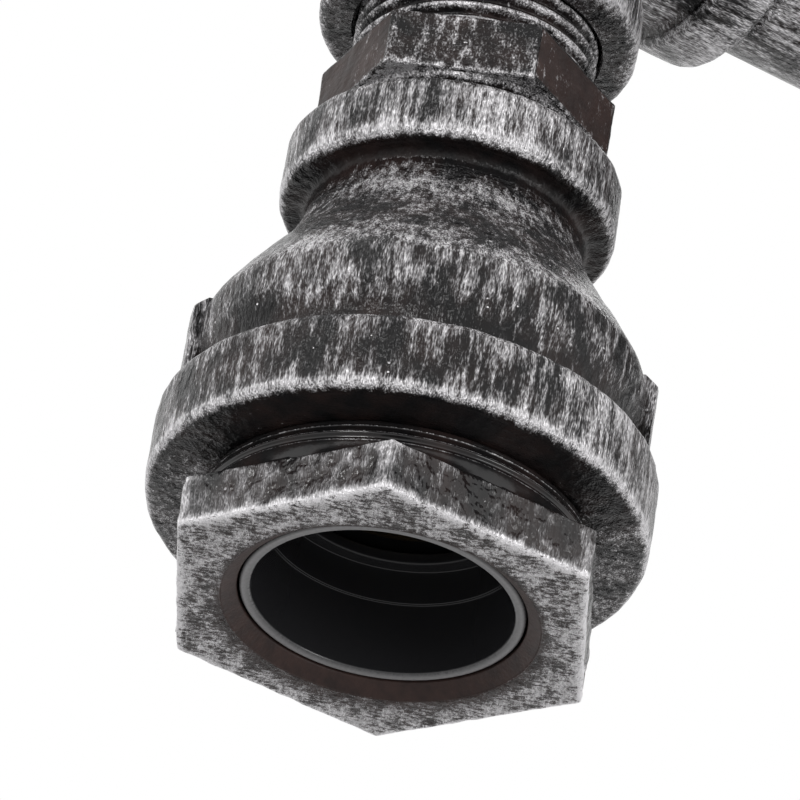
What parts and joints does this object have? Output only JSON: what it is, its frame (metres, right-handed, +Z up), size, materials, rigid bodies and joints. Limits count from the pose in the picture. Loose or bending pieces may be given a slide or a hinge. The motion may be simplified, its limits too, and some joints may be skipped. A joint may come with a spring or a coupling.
{
  "type": "pipe wall light",
  "caption": "Wall light of cast pipe fittings: a round wall flange, a pipe nipple and an elbow carry a reducing socket and hexagon bushing with a screw lampholder.",
  "frame": {"origin": "centre of the wall flange's back face, on the wall", "axes": "+Y into the wall, +Z up; the light stands out along -Y and the lamp hangs down -Z"},
  "size_m": [0.098, 0.148, 0.1796],
  "materials": {
    "cast_iron": "black paint dry-brushed with silver",
    "pipe_steel": "black paint dry-brushed with silver",
    "black_plastic": "moulded, semi-gloss",
    "ceramic": "unglazed white",
    "brass": "bright",
    "zinc_steel": "zinc plated",
    "brown_lead": "insulation",
    "blue_lead": "insulation",
    "green_lead": "insulation"
  },
  "bodies": {
    "wall": {"wall_flange": "cast_iron", "wall_nipple": "pipe_steel"},
    "head": {"elbow": "cast_iron", "hex_nipple": "cast_iron", "reducing_socket": "cast_iron", "hex_bushing": "cast_iron", "lampholder_skirt": "black_plastic", "lampholder_cap": "black_plastic", "lampholder_insulator": "ceramic", "screw_shell": "brass", "shell_rivets": "brass", "contact_spring": "zinc_steel", "live_terminal": "brass", "neutral_terminal": "brass", "terminal_screws": "zinc_steel", "threaded_tube": "zinc_steel", "support_washer": "zinc_steel", "lock_nuts": "zinc_steel", "tube_bush": "black_plastic", "cap_grub_screw": "zinc_steel", "earth_tag": "brass", "live_lead": "brown_lead", "neutral_lead": "blue_lead", "earth_lead": "green_lead"},
    "contact": {"contact_plunger": "brass"}
  },
  "joints": [
    {"name": "elbow_swing", "type": "hinge", "parent": "wall", "child": "head", "pos_m": [0, -0.0755, 0], "axis": [0, 1, 0], "range_deg": [-90, 90]},
    {"name": "contact_press", "type": "slide", "parent": "head", "child": "contact", "axis": [0, 0, 1], "range_m": [0, 0.0012], "stiffness_N_per_m": 800, "springref_m": -0.0005, "deforming": ["contact_spring"]}
  ]
}
